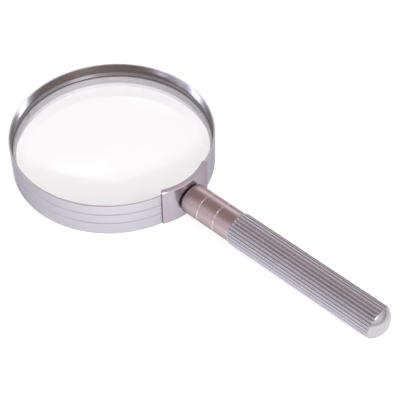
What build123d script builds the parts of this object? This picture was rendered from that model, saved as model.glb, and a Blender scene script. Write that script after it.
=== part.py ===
from build123d import *
import math
import os

# Hand lens: a biconvex glass held in a grooved metal rim, with a fluted handle that
# screws into a saddle on the rim's side.
# Frame: origin on the optical axis in the rim's base plane, +Z up along the optical
# axis, +X along the handle. All lengths are in millimetres.

# Rim barrel: the turned tube round the glass
RIM_RADIUS = 50.0
RIM_HEIGHT = 18.5
WALL_RADIUS = 49.1            # inside of the thin wall, above and below the lens seat
RIM_EDGE_ROUND = 0.25
BASE_RECESS_DEPTH = 1.6
SEAT_BORE_RADIUS = 47.4       # clear aperture
SEAT_Z = 5.9                  # flat shoulder under the glass
LENS_POCKET_RADIUS = 48.6
BAND_GROOVE_HEIGHTS = (7.0, 12.7)
BAND_GROOVE_WIDTH = 0.8
BAND_GROOVE_DEPTH = 0.18
THREAD_BOTTOM_Z = 11.5        # the end of the rim's thread that shows above the ring
THREAD_TURNS = 4
THREAD_PITCH = 0.55
THREAD_DEPTH = 0.22

# Lens: biconvex, with a cylindrical edge
LENS_RADIUS = 48.5
LENS_CURVATURE = 270.0
LENS_EDGE_BOTTOM_Z = 6.4
LENS_EDGE_TOP_Z = 8.2
LENS_EDGE_BEVEL = 0.2

# Retaining ring: screws down on the glass
RING_RADIUS = 49.05
RING_TOP_Z = 11.1
RING_TOP_BORE_RADIUS = 48.0
RING_EDGE_BEVEL = 0.3
NOTCH_WIDTH = 2.4
NOTCH_DEPTH = 1.2
NOTCH_AZIMUTH = 198.0         # the second notch is opposite

# Saddle: the cast bracket between the rim and the handle. Its front is rounder than the
# rim, so it is thickest in the middle. Its top is a band that overhangs the rim's edge and
# slopes a little, down towards +Y.
SADDLE_HALF_ANGLE = 17.5
SADDLE_FRONT_RADIUS = 32.8
SADDLE_FRONT_CENTRE_X = 19.5
SADDLE_TOP_Z = 20.0           # in the middle
SADDLE_TOP_SLOPE = 3.4        # degrees
SADDLE_TOP_BEVEL = 0.45
SADDLE_BASE_BEVEL = 0.2
BAND_WIDTH = 2.55
BAND_CORNER_RADIUS = 1.4
COLLAR_RADIUS = 6.0           # flat seat for the washer
COLLAR_FACE_X = 52.35

# Saddle screws: two M2 countersunk screws through the rim's thick lens seat
SCREW_RADIUS = 1.0
SCREW_HOLE_RADIUS = 1.1
SCREW_HEAD_RADIUS = 1.9
SCREW_HEAD_DEPTH = 1.1
SCREW_LENGTH = 4.3
SCREW_Y = 4.6
SCREW_Z = 3.75
SCREW_SLOT_WIDTH = 0.5
SCREW_SLOT_DEPTH = 0.45

# Handle: turned parts on one axis at half the rim's height
AXIS_Z = RIM_HEIGHT / 2
WASHER_THICKNESS = 0.35
WASHER_RADIUS = 6.1
FERRULE_RADIUS = 7.5
FERRULE_FRONT_X = COLLAR_FACE_X + WASHER_THICKNESS
FERRULE_FRONT_ROUND = 0.65
FERRULE_GROOVES_X = (62.5, 72.1)
FERRULE_GROOVE_RADIUS = 0.42
FERRULE_END_X = 81.4
SPIGOT_RADIUS = 6.0
SPIGOT_LENGTH = 8.0
STUD_RADIUS = 3.0             # M6 x 1
STUD_PITCH = 1.0
STUD_CLEARANCE = 0.06
STUD_THREAD_DEPTH = 0.5
STUD_ENGAGEMENT = 12.0        # length of thread inside the ferrule
STUD_FLANGE_RADIUS = 4.0
STUD_FLANGE_X = (50.05, 51.05)
GRIP_RADIUS = 8.1
GRIP_FRONT_RADIUS = 7.75
GRIP_BEVEL_LENGTH = 1.1
GRIP_BORE_RADIUS = 5.0
GRIP_BORE_END_X = 150.0
FLUTE_COUNT = 30
FLUTE_DEPTH = 0.45
FLUTE_CUTTER_RADIUS = 0.78
DOME_START_X = 160.4
DOME_SHOULDER_RADIUS = 3.25
DOME_CROWN_RADIUS = 9.2

HANDLE_AXIS = Axis((0, 0, AXIS_Z), (1, 0, 0))


def lens_surface_z(radius, edge_z, direction):
    """Height of a lens surface that starts at edge_z on the lens edge; direction is +1 or -1."""
    def sagitta(r):
        return LENS_CURVATURE - math.sqrt(LENS_CURVATURE**2 - r**2)
    return edge_z + direction * (sagitta(LENS_RADIUS) - sagitta(radius))


def turned_about_z(*edges):
    """Solid of revolution about the optical axis from a closed outline of (radius, height)."""
    return revolve(Plane.XZ * make_face(list(edges)), Axis.Z)


def turned_handle_part(*edges):
    """Solid of revolution about the handle axis from a closed outline of (x, radius)."""
    return revolve(Pos(0, 0, AXIS_Z) * (Plane.XZ * make_face(list(edges))), HANDLE_AXIS)


def along_handle(radius, x_start, x_end, y=0.0, z=AXIS_Z):
    """Cylinder parallel to the handle axis."""
    centre = Pos((x_start + x_end) / 2, y, z)
    return centre * Rot(0, 90, 0) * Cylinder(radius, x_end - x_start)


def vee_groove(radius, z, width, depth):
    """Three outline points of a vee groove; a negative depth cuts outwards."""
    return [(radius, z - width / 2), (radius - depth, z), (radius, z + width / 2)]


def screw_places():
    """Places of the two saddle screws, with their local +Z pointing outwards along +X."""
    head_x = math.sqrt(SEAT_BORE_RADIUS**2 - SCREW_Y**2)
    return [Pos(head_x, side * SCREW_Y, SCREW_Z) * Rot(0, 90, 0) for side in (-1, 1)]


def screw_shape(shank_radius, overshoot):
    """Countersunk head and shank from the local origin, with a straight run-in behind the head."""
    head = Pos(0, 0, SCREW_HEAD_DEPTH / 2) * Cone(SCREW_HEAD_RADIUS, shank_radius, SCREW_HEAD_DEPTH)
    shank = Pos(0, 0, SCREW_LENGTH / 2) * Cylinder(shank_radius, SCREW_LENGTH)
    shape = head + shank
    if overshoot:
        shape += Pos(0, 0, -overshoot / 2) * Cylinder(SCREW_HEAD_RADIUS, overshoot)
    return shape


def make_rim_barrel():
    points = [(WALL_RADIUS, 0), (RIM_RADIUS, 0)]
    for z in BAND_GROOVE_HEIGHTS:
        points += vee_groove(RIM_RADIUS, z, BAND_GROOVE_WIDTH, BAND_GROOVE_DEPTH)
    points += [(RIM_RADIUS, RIM_HEIGHT), (WALL_RADIUS, RIM_HEIGHT)]
    for turn in reversed(range(THREAD_TURNS)):
        z = THREAD_BOTTOM_Z + turn * THREAD_PITCH
        points += reversed(vee_groove(WALL_RADIUS, z, THREAD_PITCH * 0.8, -THREAD_DEPTH))
    points += [
        (WALL_RADIUS, LENS_EDGE_TOP_Z - 0.2),
        (LENS_POCKET_RADIUS, LENS_EDGE_TOP_Z - 0.2),
        (LENS_POCKET_RADIUS, SEAT_Z),
        (SEAT_BORE_RADIUS, SEAT_Z),
        (SEAT_BORE_RADIUS, BASE_RECESS_DEPTH),
        (WALL_RADIUS, BASE_RECESS_DEPTH),
    ]
    barrel = turned_about_z(*Polyline(*points, close=True).edges())
    top_edges = barrel.edges().group_by(Axis.Z)[-1]
    barrel = fillet(top_edges, RIM_EDGE_ROUND)
    base_edge = barrel.edges().group_by(Axis.Z)[0].sort_by(SortBy.RADIUS)[-1]
    barrel = fillet(base_edge, RIM_EDGE_ROUND)
    for place in screw_places():
        barrel -= place * screw_shape(SCREW_HOLE_RADIUS, overshoot=2.0)
    return barrel


def make_lens():
    top_centre = (0, lens_surface_z(0, LENS_EDGE_TOP_Z, 1))
    bottom_centre = (0, lens_surface_z(0, LENS_EDGE_BOTTOM_Z, -1))
    top_edge = (LENS_RADIUS, LENS_EDGE_TOP_Z)
    bottom_edge = (LENS_RADIUS, LENS_EDGE_BOTTOM_Z)
    glass = turned_about_z(
        Line(bottom_centre, top_centre),
        RadiusArc(top_centre, top_edge, LENS_CURVATURE),
        Line(top_edge, bottom_edge),
        RadiusArc(bottom_edge, bottom_centre, LENS_CURVATURE),
    )
    return chamfer(glass.edges().filter_by(GeomType.CIRCLE), LENS_EDGE_BEVEL)


def make_lens_cushion():
    inner, outer = SEAT_BORE_RADIUS, LENS_POCKET_RADIUS - 0.3
    inner_top = (inner, lens_surface_z(inner, LENS_EDGE_BOTTOM_Z, -1))
    outer_top = (outer, lens_surface_z(outer, LENS_EDGE_BOTTOM_Z, -1))
    return turned_about_z(
        RadiusArc(outer_top, inner_top, LENS_CURVATURE),
        *Polyline(inner_top, (inner, SEAT_Z), (outer, SEAT_Z), outer_top).edges(),
    )


def make_retaining_ring():
    inner_bottom = (SEAT_BORE_RADIUS, lens_surface_z(SEAT_BORE_RADIUS, LENS_EDGE_TOP_Z, 1))
    outer_bottom = (LENS_RADIUS - 0.3, lens_surface_z(LENS_RADIUS - 0.3, LENS_EDGE_TOP_Z, 1))
    ring = turned_about_z(
        RadiusArc(inner_bottom, outer_bottom, LENS_CURVATURE),
        *Polyline(
            outer_bottom,
            (RING_RADIUS, outer_bottom[1]),
            (RING_RADIUS, RING_TOP_Z - RING_EDGE_BEVEL),
            (RING_RADIUS - RING_EDGE_BEVEL, RING_TOP_Z),
            (RING_TOP_BORE_RADIUS, RING_TOP_Z),
            inner_bottom,
        ).edges(),
    )
    for azimuth in (NOTCH_AZIMUTH, NOTCH_AZIMUTH + 180):
        notch = Box(4, NOTCH_WIDTH, 2 * NOTCH_DEPTH)
        ring -= Rot(0, 0, azimuth) * Pos(RING_RADIUS - 0.4, 0, RING_TOP_Z) * notch
    return ring


def make_saddle():
    reach = 2 * RIM_RADIUS
    half_width = reach * math.tan(math.radians(SADDLE_HALF_ANGLE))
    wedge = make_face(Polyline((0, 0), (reach, -half_width), (reach, half_width), close=True))
    front_centre = Pos(SADDLE_FRONT_CENTRE_X, 0)
    front = front_centre * Circle(SADDLE_FRONT_RADIUS) & wedge

    plate = extrude(front - Circle(RIM_RADIUS), RIM_HEIGHT)
    base_front = plate.edges().group_by(Axis.Z)[0].sort_by(Axis.X)[-1]
    plate = chamfer(base_front, SADDLE_BASE_BEVEL)

    band = front - front_centre * Circle(SADDLE_FRONT_RADIUS - BAND_WIDTH)
    inner_corners = band.vertices().sort_by(SortBy.DISTANCE)[:2]
    band = fillet(inner_corners, BAND_CORNER_RADIUS)
    tall = 2 * (SADDLE_TOP_Z - RIM_HEIGHT)
    band = Pos(0, 0, RIM_HEIGHT) * extrude(band, tall)
    above_top = Pos(0, 0, tall / 2) * Box(4 * RIM_RADIUS, RIM_RADIUS, tall)
    band -= Pos(0, 0, SADDLE_TOP_Z) * Rot(-SADDLE_TOP_SLOPE, 0, 0) * above_top
    top_front = band.faces().sort_by(Axis.Z)[-1].edges().sort_by(Axis.X)[-1]
    band = chamfer(top_front, SADDLE_TOP_BEVEL)

    collar = along_handle(COLLAR_RADIUS, RIM_RADIUS - 2, COLLAR_FACE_X)
    collar -= Pos(0, 0, AXIS_Z) * Cylinder(RIM_RADIUS, RIM_HEIGHT)
    body = plate + band + collar
    body -= along_handle(STUD_FLANGE_RADIUS, RIM_RADIUS - 1, STUD_FLANGE_X[1])
    body -= along_handle(STUD_RADIUS, RIM_RADIUS - 1, COLLAR_FACE_X + 1)
    for place in screw_places():
        body -= place * screw_shape(SCREW_RADIUS, overshoot=0)
    return body


def make_saddle_screws():
    slot = Box(2 * SCREW_HEAD_RADIUS + 1, SCREW_SLOT_WIDTH, 2 * SCREW_SLOT_DEPTH)
    screw = screw_shape(SCREW_RADIUS, overshoot=0) - slot
    return [place * screw for place in screw_places()]


def make_handle_stud():
    thread_radius = STUD_RADIUS - STUD_CLEARANCE
    tip_x = FERRULE_FRONT_X + STUD_ENGAGEMENT
    stud = along_handle(thread_radius, COLLAR_FACE_X, tip_x)
    stud = chamfer(stud.edges().group_by(Axis.X)[-1], STUD_THREAD_DEPTH)
    root_radius = thread_radius - STUD_THREAD_DEPTH
    groove_half_width = STUD_PITCH * 0.45
    for turn in range(int(STUD_ENGAGEMENT / STUD_PITCH)):
        x = FERRULE_FRONT_X + (turn + 0.4) * STUD_PITCH
        stud -= turned_handle_part(*Polyline(
            (x - groove_half_width, thread_radius + 0.01),
            (x, root_radius),
            (x + groove_half_width, thread_radius + 0.01),
            close=True,
        ).edges())
    stud += along_handle(STUD_RADIUS, STUD_FLANGE_X[0], COLLAR_FACE_X)
    return stud + along_handle(STUD_FLANGE_RADIUS, *STUD_FLANGE_X)


def make_handle_washer():
    ring = along_handle(WASHER_RADIUS, COLLAR_FACE_X, FERRULE_FRONT_X)
    return ring - along_handle(STUD_RADIUS, COLLAR_FACE_X - 1, FERRULE_FRONT_X + 1)


def make_ferrule():
    front, end = FERRULE_FRONT_X, FERRULE_END_X
    body = along_handle(FERRULE_RADIUS, front, end)
    body = fillet(body.edges().group_by(Axis.X)[0], FERRULE_FRONT_ROUND)
    body += along_handle(SPIGOT_RADIUS, end - 1, end + SPIGOT_LENGTH)
    body -= along_handle(STUD_RADIUS, front - 1, end + SPIGOT_LENGTH + 1)
    for x in FERRULE_GROOVES_X:
        groove = Torus(FERRULE_RADIUS + 0.05, FERRULE_GROOVE_RADIUS)
        body -= Pos(x, 0, AXIS_Z) * Rot(0, 90, 0) * groove
    return body


def make_grip():
    start = FERRULE_END_X
    shoulder_ring = GRIP_RADIUS - DOME_SHOULDER_RADIUS
    crown_reach = DOME_CROWN_RADIUS - DOME_SHOULDER_RADIUS
    crown_x = DOME_START_X - math.sqrt(crown_reach**2 - shoulder_ring**2)
    blend_angle = math.atan2(shoulder_ring, DOME_START_X - crown_x)
    blend = (
        crown_x + DOME_CROWN_RADIUS * math.cos(blend_angle),
        DOME_CROWN_RADIUS * math.sin(blend_angle),
    )
    tip = (crown_x + DOME_CROWN_RADIUS, 0)
    dome_start = (DOME_START_X, GRIP_RADIUS)
    body = turned_handle_part(
        RadiusArc(dome_start, blend, DOME_SHOULDER_RADIUS),
        RadiusArc(blend, tip, DOME_CROWN_RADIUS),
        *Polyline(
            tip,
            (start, 0),
            (start, GRIP_FRONT_RADIUS),
            (start + GRIP_BEVEL_LENGTH, GRIP_RADIUS),
            dome_start,
        ).edges(),
    )
    cutter_ring = GRIP_RADIUS - FLUTE_DEPTH + FLUTE_CUTTER_RADIUS
    fluted = Circle(GRIP_RADIUS + 0.5) - PolarLocations(cutter_ring, FLUTE_COUNT) * Circle(
        FLUTE_CUTTER_RADIUS
    )
    body &= Pos(start - 1, 0, AXIS_Z) * Rot(0, 90, 0) * extrude(fluted, tip[0] - start + 2)
    body -= along_handle(SPIGOT_RADIUS, start - 1, start + SPIGOT_LENGTH)
    body -= along_handle(GRIP_BORE_RADIUS, start, GRIP_BORE_END_X)
    return body


PARTS = {
    "rim_barrel": make_rim_barrel,
    "lens": make_lens,
    "lens_cushion": make_lens_cushion,
    "retaining_ring": make_retaining_ring,
    "saddle": make_saddle,
    "saddle_screws": make_saddle_screws,
    "handle_stud": make_handle_stud,
    "handle_washer": make_handle_washer,
    "ferrule": make_ferrule,
    "grip": make_grip,
}

os.makedirs("parts", exist_ok=True)
for node, make in PARTS.items():
    shape = make()
    solids = shape if isinstance(shape, list) else [shape]
    export_step(Compound(children=solids), f"parts/{node}.step")
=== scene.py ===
import bpy
import math
from mathutils import Matrix, Vector

# Hand lens: materials for the CAD nodes, the pale floor, the studio light and the camera.
# Metres, in the CAD model's frame: +Z is the optical axis, +X runs along the handle.

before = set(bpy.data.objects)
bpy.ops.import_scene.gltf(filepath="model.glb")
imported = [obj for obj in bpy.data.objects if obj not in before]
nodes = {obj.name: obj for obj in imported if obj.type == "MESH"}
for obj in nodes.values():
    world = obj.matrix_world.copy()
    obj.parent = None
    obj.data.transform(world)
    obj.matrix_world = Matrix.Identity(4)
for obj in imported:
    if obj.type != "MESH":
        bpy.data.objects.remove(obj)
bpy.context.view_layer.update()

MM = 0.001
# Places on the CAD parts that the materials follow
HANDLE_AXIS_Z = 9.25 * MM
INNER_WALL_RADIUS = 49.4 * MM
BAND_GROOVE_HEIGHTS = (7.0 * MM, 12.7 * MM)
FERRULE_GROOVES_X = (62.5 * MM, 72.1 * MM)
FERRULE_GROOVE_RADIUS = 0.42 * MM

FLOOR_SIZE = 6
FLOOR_Z = -0.05 * MM          # just under the rim's base
SNOOT_DISTANCE = 1.0
SNOOT_RADIUS = 15 * MM
SNOOT_COLOUR = (0.62, 0.76, 1.0)
SNOOT_AIM_Z = 17 * MM         # near the rim's upper edge

# Narrow lamps on the inner wall: name, azimuth of the place that it lights, azimuth and
# elevation of the lamp in degrees, width of the beam, power in watts
SNOOTS = (
    ("snoot_right", 75, -141, 3.5, 22 * MM, 150),
    ("snoot_middle", 91, -119, 3.0, 20 * MM, 38),
    ("snoot_back", 105, -98, 2.0, 18 * MM, 75),
    ("snoot_left", 200, 58, 3.5, 26 * MM, 115),
)


# ---------------------------------------------------------------- camera

def camera():
    """The reference view: from the front and above, with the handle towards the lower right."""
    place = Vector((0.3199, -0.2796, 0.4228))
    heading, pitch, roll = math.radians(133.14), math.radians(-47.04), math.radians(-0.64)
    forward = Vector((
        math.cos(heading) * math.cos(pitch),
        math.sin(heading) * math.cos(pitch),
        math.sin(pitch),
    ))
    level = Vector((math.sin(heading), -math.cos(heading), 0))
    upright = level.cross(forward)
    right = level * math.cos(roll) + upright * math.sin(roll)
    up = upright * math.cos(roll) - level * math.sin(roll)
    data = bpy.data.cameras.new("camera")
    data.lens = 108.5
    data.sensor_width = 36.0
    data.clip_start, data.clip_end = 0.01, 20.0
    cam = bpy.data.objects.new("camera", data)
    rotation = Matrix((right, up, -forward)).transposed().to_4x4()
    cam.matrix_world = Matrix.Translation(place) @ rotation
    bpy.context.scene.collection.objects.link(cam)
    bpy.context.scene.camera = cam


# ---------------------------------------------------------------- material helpers

class Shader:
    """One Principled material and short calls for the nodes that pattern it."""

    def __init__(self, name, **settings):
        self.material = bpy.data.materials.new(name)
        self.material.use_nodes = True
        self.tree = self.material.node_tree
        self.surface = self.tree.nodes["Principled BSDF"]
        self.output = self.tree.nodes["Material Output"]
        for socket, value in settings.items():
            self.surface.inputs[socket.replace("_", " ")].default_value = value
        place = self.node("TexCoord").outputs["Object"]
        self.place = place
        self.x, self.y, self.z = self.node("SeparateXYZ", place).outputs

    def node(self, kind, *inputs, **settings):
        """A new node; each input is a socket to link, a plain value, or None to leave it."""
        made = self.tree.nodes.new("ShaderNode" + kind)
        for name, value in settings.items():
            setattr(made, name, value)
        for socket, value in zip(made.inputs, inputs):
            self.feed(socket, value)
        return made

    def feed(self, socket, value):
        if isinstance(value, bpy.types.NodeSocket):
            self.tree.links.new(value, socket)
        elif value is not None:
            socket.default_value = value

    def math(self, operation, a, b=None, c=None, clamp=False):
        return self.node("Math", a, b, c, operation=operation, use_clamp=clamp).outputs[0]

    def remap(self, value, low, high, to_low=0.0, to_high=1.0, smooth=True):
        """value from low..high to to_low..to_high, clamped."""
        kind = "SMOOTHSTEP" if smooth else "LINEAR"
        made = self.node("MapRange", value, low, high, to_low, to_high, interpolation_type=kind)
        return made.outputs[0]

    def band(self, value, centre, half_width, soft):
        """1 within half_width of centre, falling to 0 over soft."""
        off_centre = self.math("ABSOLUTE", self.math("SUBTRACT", value, centre))
        return self.remap(off_centre, half_width, half_width + soft, 1.0, 0.0)

    def length(self, a, b):
        return self.math("SQRT", self.math("ADD", self.math("MULTIPLY", a, a), self.math("MULTIPLY", b, b)))

    def vector(self, x, y, z):
        return self.node("CombineXYZ", x, y, z).outputs[0]

    def scaled(self, value, factor):
        return self.math("MULTIPLY", value, factor)

    def noise(self, vector, scale=1.0, detail=2.0, roughness=0.5, distortion=0.0):
        made = self.node("TexNoise")
        for socket, value in (("Vector", vector), ("Scale", scale), ("Detail", detail),
                              ("Roughness", roughness), ("Distortion", distortion)):
            self.feed(made.inputs[socket], value)
        return made.outputs["Fac"]

    def mix(self, factor, a, b, blend="MIX"):
        made = self.node("Mix", data_type="RGBA", blend_type=blend)
        self.feed(made.inputs["Factor"], factor)
        for socket, value in (("A", a), ("B", b)):
            colour = (*value, 1.0) if isinstance(value, tuple) and len(value) == 3 else value
            self.feed([s for s in made.inputs if s.name == socket and s.type == "RGBA"][0], colour)
        return [s for s in made.outputs if s.type == "RGBA"][0]

    def bump(self, *layers):
        """Chains bump layers of (height socket, depth in metres, strength)."""
        normal = None
        for height, depth, strength in layers:
            made = self.node("Bump")
            self.feed(made.inputs["Height"], height)
            made.inputs["Distance"].default_value = depth
            made.inputs["Strength"].default_value = strength
            if normal is not None:
                self.feed(made.inputs["Normal"], normal)
            normal = made.outputs[0]
        self.feed(self.surface.inputs["Normal"], normal)

    def set(self, socket, value):
        self.feed(self.surface.inputs[socket], value)

    def scratches(self, scale, thinness, stretch, turn):
        """Sparse thin hairlines: the places where a stretched noise crosses one value."""
        mapped = self.node("Mapping", self.place, None, turn, stretch).outputs[0]
        wave = self.noise(mapped, scale, 1.0, 0.4)
        line = self.band(wave, 0.5, thinness, thinness)
        patch = self.noise(self.place, scale * 2.3, 1.0)
        return self.math("MULTIPLY", line, self.remap(patch, 0.55, 0.7))


# ---------------------------------------------------------------- metals

def rim_metal():
    """Satin aluminium, turned: fine rings and handling marks; the polished inner wall gets a deep brown
    colour, a painted reflection of dim surroundings.
    """
    s = Shader("rim_metal", Metallic=1.0, Anisotropic_Rotation=0.25)
    s.set("Tangent", s.node("Tangent", direction_type="RADIAL", axis="Z").outputs[0])
    radius = s.length(s.x, s.y)
    across = s.math("ADD", s.z, radius)
    turning = s.vector(s.scaled(s.x, 30), s.scaled(s.y, 30), s.scaled(across, 2600))
    rings = s.noise(turning, 1.0, 3.0, 0.65)
    fine = s.noise(s.vector(s.scaled(s.x, 60), s.scaled(s.y, 60), s.scaled(across, 9000)), 1.0, 1.0)
    cloud = s.noise(s.place, 45, 3.0, 0.55)
    grain = s.noise(s.place, 3800, 2.0, 0.6)
    marks = s.scratches(120, 0.004, (1.0, 1.0, 5.0), (0.4, 0.3, 0.6))

    within = s.remap(radius, 49.45 * MM, 49.35 * MM)
    polished = s.math("MULTIPLY", within, s.remap(s.z, 13.75 * MM, 13.95 * MM))
    edge = s.math("MAXIMUM", s.remap(s.z, 18.2 * MM, 18.4 * MM), s.remap(s.z, 0.3 * MM, 0.1 * MM))
    # Darker along the two band grooves: painted shade in the grooves.
    groove_shade = s.math("MAXIMUM", *(s.band(s.z, height, 0.2 * MM, 0.15 * MM)
                                  for height in BAND_GROOVE_HEIGHTS))

    outer = s.mix(cloud, (0.505, 0.495, 0.545), (0.575, 0.565, 0.61))
    outer = s.mix(s.remap(rings, 0.3, 0.7, 0.0, 0.35), outer, (0.59, 0.58, 0.625))
    outer = s.mix(s.scaled(groove_shade, 0.3), outer, (0.28, 0.27, 0.30))
    bare = s.mix(cloud, (0.88, 0.87, 0.90), (0.94, 0.93, 0.96))
    # The bare bore is darkened towards the bottom, under the lens: painted shade.
    bare = s.mix(s.remap(s.z, 8.0 * MM, 10.0 * MM), bare, (0.31, 0.29, 0.305))
    # Deep brown on the polished wall above the threads: painted reflection of dim surroundings, not the
    # metal's own colour.
    painted_reflection = s.mix(cloud, (0.27, 0.22, 0.215), (0.32, 0.27, 0.265))
    inner = s.mix(polished, bare, painted_reflection)
    colour = s.mix(within, outer, inner)
    s.set("Base Color", s.mix(s.scaled(edge, 0.6), colour, (0.74, 0.73, 0.76)))
    s.set("Specular Tint", s.mix(polished, (0.52, 0.51, 0.55), (0.95, 0.98, 1.0)))

    rough = s.remap(rings, 0.2, 0.8, 0.27, 0.38)
    rough = s.math("ADD", rough, s.remap(cloud, 0.45, 0.75, 0.0, 0.08))
    rough = s.math("SUBTRACT", rough, s.scaled(marks, 0.10))
    rough = s.math("ADD", rough, s.scaled(edge, 0.08))
    lapped = s.remap(cloud, 0.3, 0.7, 0.50, 0.56)
    mixed = s.math("MULTIPLY_ADD", s.math("SUBTRACT", lapped, rough), polished, rough)
    s.set("Roughness", mixed)
    s.set("Anisotropic", s.scaled(polished, 0.98))
    texture = s.math("SUBTRACT", 1.0, s.scaled(polished, 0.85))
    s.bump((s.math("MULTIPLY", rings, texture), 0.00001, 0.35),
           (s.math("MULTIPLY", fine, texture), 0.000004, 0.3),
           (s.math("MULTIPLY", grain, texture), 0.000003, 0.3),
           (marks, -0.00001, 0.5))
    return s.material


def ring_metal():
    """Satin turned ring: circular tool marks across its flat top."""
    s = Shader("ring_metal", Metallic=0.6)
    radius = s.length(s.x, s.y)
    across = s.math("ADD", s.z, radius)
    turning = s.vector(s.scaled(s.x, 30), s.scaled(s.y, 30), s.scaled(across, 5200))
    rings = s.noise(turning, 1.0, 3.0, 0.6)
    cloud = s.noise(s.place, 70, 3.0, 0.6)
    grain = s.noise(s.place, 4200, 2.0)
    colour = s.mix(cloud, (0.80, 0.78, 0.81), (0.88, 0.86, 0.89))
    colour = s.mix(s.remap(rings, 0.35, 0.7, 0.0, 0.4), colour, (0.93, 0.91, 0.94))
    s.set("Base Color", colour)
    s.set("Roughness", s.remap(rings, 0.25, 0.75, 0.34, 0.48))
    s.bump((rings, 0.000012, 0.3), (grain, 0.000003, 0.3))
    return s.material


def saddle_metal():
    """Cast, polished and plated: semi-bright with a soft waviness, hairlines and finger marks."""
    s = Shader("saddle_metal", Metallic=1.0, Specular_Tint=(0.55, 0.50, 0.55, 1.0))
    cloud = s.noise(s.place, 95, 3.0, 0.6, 0.4)
    wavy = s.noise(s.place, 260, 1.0, 0.4)
    polish = s.noise(s.vector(s.scaled(s.x, 900), s.scaled(s.y, 900), s.scaled(s.z, 60)), 1.0, 2.0)
    grain = s.noise(s.place, 5200, 2.0)
    marks = s.scratches(160, 0.005, (1.0, 1.0, 4.0), (0.2, 0.5, 0.1))
    colour = s.mix(cloud, (0.45, 0.40, 0.45), (0.52, 0.47, 0.52))
    colour = s.mix(s.remap(polish, 0.4, 0.75, 0.0, 0.25), colour, (0.57, 0.52, 0.57))
    s.set("Base Color", colour)
    rough = s.remap(cloud, 0.3, 0.7, 0.13, 0.22)
    s.set("Roughness", s.math("ADD", rough, s.scaled(marks, 0.15), clamp=True))
    s.bump((wavy, 0.00002, 0.2), (polish, 0.000004, 0.25), (grain, 0.000002, 0.3),
           (marks, -0.000008, 0.4))
    return s.material


def handle_lines(s, along, around):
    """Noise drawn out round the handle's axis, with its lines spaced along it."""
    return s.vector(s.scaled(s.x, along), s.scaled(s.y, around), s.scaled(s.z, around))


def ferrule_metal():
    """Pearl nickel: a satin warm grey with fine turned lines and two polished grooves."""
    s = Shader("ferrule_metal", Metallic=1.0, Specular_Tint=(0.56, 0.51, 0.54, 1.0))
    rings = s.noise(handle_lines(s, 3200, 35), 1.0, 3.0, 0.6)
    cloud = s.noise(s.place, 130, 4.0, 0.6, 0.6)
    grain = s.noise(s.place, 6000, 2.0, 0.6)
    marks = s.scratches(150, 0.004, (3.0, 1.0, 1.0), (0.3, 0.2, 0.5))
    groove = s.math("MAXIMUM", *(s.band(s.x, place, FERRULE_GROOVE_RADIUS, 0.06 * MM)
                                 for place in FERRULE_GROOVES_X))
    front = s.remap(s.x, 53.3 * MM, 53.0 * MM)
    bright = s.math("MAXIMUM", groove, front)
    colour = s.mix(cloud, (0.41, 0.325, 0.33), (0.47, 0.385, 0.395))
    colour = s.mix(s.remap(rings, 0.35, 0.75, 0.0, 0.3), colour, (0.52, 0.44, 0.455))
    s.set("Base Color", s.mix(bright, colour, (0.60, 0.53, 0.55)))
    rough = s.remap(cloud, 0.3, 0.7, 0.27, 0.36)
    rough = s.math("ADD", rough, s.remap(rings, 0.3, 0.7, -0.03, 0.05))
    rough = s.math("SUBTRACT", rough, s.scaled(bright, 0.18))
    s.set("Roughness", s.math("SUBTRACT", rough, s.scaled(marks, 0.1), clamp=True))
    s.bump((rings, 0.000008, 0.35), (grain, 0.000004, 0.45), (marks, -0.000008, 0.4))
    return s.material


def grip_metal():
    """Satin aluminium flutes with painted highlights on the crests and painted shade in the valleys, and a
    polished dome.
    """
    s = Shader("grip_metal", Metallic=1.0, Specular_Tint=(0.80, 0.78, 0.81, 1.0))
    out = s.length(s.y, s.math("SUBTRACT", s.z, HANDLE_AXIS_Z))
    streaks = s.noise(s.vector(s.scaled(s.x, 40), s.scaled(s.y, 3000), s.scaled(s.z, 3000)), 1.0, 2.0)
    cloud = s.noise(s.place, 70, 3.0, 0.6, 0.4)
    grain = s.noise(s.place, 5200, 2.0, 0.6)
    turned = s.noise(handle_lines(s, 3600, 40), 1.0, 2.0)
    marks = s.scratches(110, 0.005, (1.0, 4.0, 4.0), (0.5, 0.2, 0.9))
    dome = s.remap(s.x, 160.9 * MM, 161.6 * MM)
    body = s.math("SUBTRACT", 1.0, dome)
    # Flute valleys are drawn darker (painted shade) and crests lighter (painted highlight); the same masks
    # also vary the roughness.
    valley_shade = s.math("MULTIPLY", s.remap(out, 8.0 * MM, 7.7 * MM), body)
    crest_highlight = s.math("MULTIPLY", s.remap(out, 8.04 * MM, 8.09 * MM), body)

    colour = s.mix(cloud, (0.42, 0.40, 0.46), (0.49, 0.47, 0.535))
    colour = s.mix(s.remap(streaks, 0.4, 0.8, 0.0, 0.2), colour, (0.55, 0.53, 0.59))
    colour = s.mix(s.scaled(valley_shade, 0.15), colour, (0.26, 0.24, 0.275))
    colour = s.mix(s.scaled(crest_highlight, 0.5), colour, (0.66, 0.64, 0.69))
    s.set("Base Color", s.mix(dome, colour, s.mix(cloud, (0.41, 0.40, 0.42), (0.47, 0.46, 0.48))))
    rough = s.remap(cloud, 0.3, 0.7, 0.26, 0.33)
    rough = s.math("ADD", rough, s.scaled(valley_shade, 0.06))
    rough = s.math("SUBTRACT", rough, s.scaled(crest_highlight, 0.04))
    rough = s.math("SUBTRACT", rough, s.scaled(dome, 0.10))
    s.set("Roughness", s.math("SUBTRACT", rough, s.scaled(marks, 0.08), clamp=True))
    s.bump((s.math("MULTIPLY", turned, dome), 0.000006, 0.3), (streaks, 0.000004, 0.25),
           (grain, 0.000002, 0.12), (marks, -0.000004, 0.15))
    return s.material


def machined_steel(name, low, high, along):
    """Bright machined steel with tool marks round the handle's axis."""
    s = Shader(name, Metallic=1.0)
    rings = s.noise(handle_lines(s, along, 60), 1.0, 3.0, 0.6)
    cloud = s.noise(s.place, 240, 3.0, 0.6)
    s.set("Base Color", s.mix(cloud, low, high))
    s.set("Roughness", s.remap(rings, 0.25, 0.75, 0.2, 0.4))
    s.bump((rings, 0.00001, 0.4))
    return s.material


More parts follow.
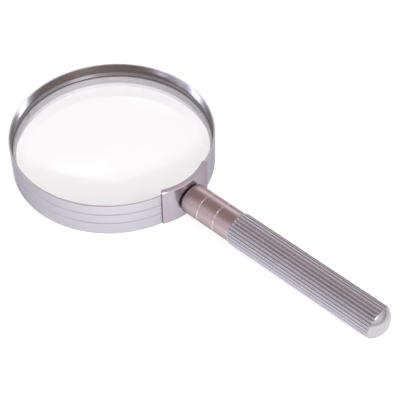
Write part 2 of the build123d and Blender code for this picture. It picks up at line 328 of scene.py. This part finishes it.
def soft_fibre(name, low, high, scale):
    """Matt fibre or rubber with a fine tooth."""
    s = Shader(name)
    tooth = s.noise(s.place, scale, 3.0, 0.7)
    cloud = s.noise(s.place, scale / 12, 2.0)
    s.set("Base Color", s.mix(cloud, low, high))
    s.set("Roughness", s.remap(tooth, 0.3, 0.7, 0.55, 0.8))
    s.bump((tooth, 0.00003, 0.5))
    return s.material


def optical_glass():
    """Clear crown glass with a trace of dust and polish; lamps and diffuse light pass through it."""
    s = Shader("optical_glass", Transmission_Weight=1.0, IOR=1.517)
    haze = s.noise(s.place, 60, 3.0, 0.6, 0.8)
    dust = s.remap(s.noise(s.place, 1500, 1.0, 0.3), 0.74, 0.80)
    s.set("Base Color", s.mix(s.scaled(dust, 0.12), (0.945, 0.940, 0.943), (0.84, 0.84, 0.84)))
    s.set("Roughness", s.math("ADD", s.remap(haze, 0.5, 0.8, 0.0, 0.012), s.scaled(dust, 0.05)))
    s.bump((haze, 0.000003, 0.04))
    path = s.node("LightPath")
    through = s.math("MAXIMUM", path.outputs["Is Shadow Ray"], path.outputs["Is Diffuse Ray"])
    clear = s.node("BsdfTransparent").outputs[0]
    mixed = s.node("MixShader", through, s.surface.outputs[0], clear).outputs[0]
    s.feed(s.output.inputs["Surface"], mixed)
    return s.material


# ---------------------------------------------------------------- setting

def floor():
    """A plain pale sheet with an even glow of its own."""
    bpy.ops.mesh.primitive_plane_add(size=FLOOR_SIZE, location=(0, 0, FLOOR_Z))
    plane = bpy.context.object
    plane.name = "floor"
    s = Shader("floor", Roughness=0.9)
    tone = s.noise(s.place, 6, 2.0)
    s.set("Base Color", s.mix(tone, (0.39, 0.395, 0.415), (0.41, 0.415, 0.435)))
    s.surface.inputs["Emission Color"].default_value = (1.0, 1.0, 1.0, 1.0)
    s.surface.inputs["Emission Strength"].default_value = 0.77
    plane.data.materials.append(s.material)


def direction(azimuth, elevation=0.0):
    a, e = math.radians(azimuth), math.radians(elevation)
    return (math.cos(a) * math.cos(e), math.sin(a) * math.cos(e), math.sin(e))


class Sky(Shader):
    """The world's light, built up from soft patches."""

    def __init__(self, name):
        world = bpy.data.worlds.new(name)
        bpy.context.scene.world = world
        world.use_nodes = True
        self.tree = world.node_tree
        self.way = self.node("TexCoord").outputs["Generated"]
        self.up = self.node("SeparateXYZ", self.way).outputs["Z"]
        self.total = None

    def ramp(self, stops):
        made = self.node("ValToRGB", self.up)
        points = made.color_ramp.elements
        while len(points) < len(stops):
            points.new(0.5)
        for point, (position, colour) in zip(points, stops):
            point.position = position
            point.color = (*colour, 1.0)
        self.total = made.outputs["Color"]

    def towards(self, aim):
        return self.node("VectorMath", self.way, aim, operation="DOT_PRODUCT").outputs["Value"]

    def add(self, mask, colour):
        self.total = self.mix(mask, self.total, colour, blend="ADD")

    def glow(self, azimuth, elevation, reach, core, colour):
        """A round patch: full strength within core degrees, gone at reach degrees."""
        near, far = math.cos(math.radians(core)), math.cos(math.radians(reach))
        self.add(self.remap(self.towards(direction(azimuth, elevation)), far, near), colour)


def sky():
    """A warm grey studio: a soft light on the left, a fill behind and one lamp in front."""
    s = Sky("studio")
    s.ramp([
        (0.0, (0.60, 0.57, 0.58)),
        (0.20, (0.70, 0.67, 0.69)),
        (0.42, (0.98, 0.96, 1.00)),
        (0.62, (0.92, 0.86, 0.87)),
        (0.72, (0.63, 0.55, 0.53)),
        (0.82, (0.46, 0.36, 0.32)),
        (1.0, (0.42, 0.33, 0.30)),
    ])
    s.glow(-123, 0, 38, 10, (0.26, 0.28, 0.34))
    s.glow(125, 22, 15, 6, (0.9, 0.9, 0.93))
    s.glow(-15, 42, 55, 25, (0.30, 0.31, 0.33))
    s.glow(-13, 44, 11, 5, (4.0, 4.0, 4.1))
    s.tree.links.new(s.total, s.tree.nodes["Background"].inputs["Color"])


def spot(name, aim, towards_lamp, distance, width, softness, radius, power, colour):
    """A lamp at that distance from aim, with a beam of that width where it lands."""
    data = bpy.data.lights.new(name, "SPOT")
    data.energy = power
    data.color = colour
    data.spot_size = 2 * math.atan(width / 2 / distance)
    data.spot_blend = softness
    data.shadow_soft_size = radius
    lamp = bpy.data.objects.new(name, data)
    lamp.location = aim + towards_lamp * distance
    lamp.rotation_euler = towards_lamp.to_track_quat("Z", "Y").to_euler()
    bpy.context.scene.collection.objects.link(lamp)
    return lamp


def snoot(name, wall_azimuth, azimuth, elevation, width, power):
    """A cool narrow lamp that skims the near rim and lights the inner wall across from it."""
    aim = Vector(direction(wall_azimuth)) * INNER_WALL_RADIUS + Vector((0, 0, SNOOT_AIM_Z))
    spot(name, aim, Vector(direction(azimuth, elevation)), SNOOT_DISTANCE, width, 0.6,
         SNOOT_RADIUS, power, SNOOT_COLOUR)


def front_pool():
    """A wide lamp overhead that brightens the sheet in front of the rim, unseen in the metal."""
    lamp = spot("front_pool", Vector(direction(-41)) * 0.30, Vector((0, 0, 1)), 1.0, 0.51, 0.21,
                20 * MM, 42, (1.0, 1.0, 1.0))
    lamp.visible_glossy = False


materials = {
    "rim_barrel": rim_metal(),
    "retaining_ring": ring_metal(),
    "saddle": saddle_metal(),
    "saddle_screws": machined_steel("screw_steel", (0.42, 0.42, 0.44), (0.56, 0.56, 0.58), 900),
    "handle_stud": machined_steel("stud_steel", (0.44, 0.44, 0.46), (0.58, 0.58, 0.60), 5000),
    # Near-black washer: a real part, but its colour stands in for the shadow in the gap between saddle and
    # ferrule: painted shade.
    "handle_washer": soft_fibre("washer_rubber", (0.02, 0.02, 0.022), (0.035, 0.033, 0.034), 2600),
    "lens_cushion": soft_fibre("cushion_fibre", (0.86, 0.86, 0.85), (0.93, 0.93, 0.92), 1800),
    "ferrule": ferrule_metal(),
    "grip": grip_metal(),
    "lens": optical_glass(),
}
for name, material in materials.items():
    nodes[name].data.materials.clear()
    nodes[name].data.materials.append(material)

floor()
sky()
front_pool()
for settings in SNOOTS:
    snoot(*settings)
camera()
bpy.context.scene.view_settings.view_transform = "Standard"
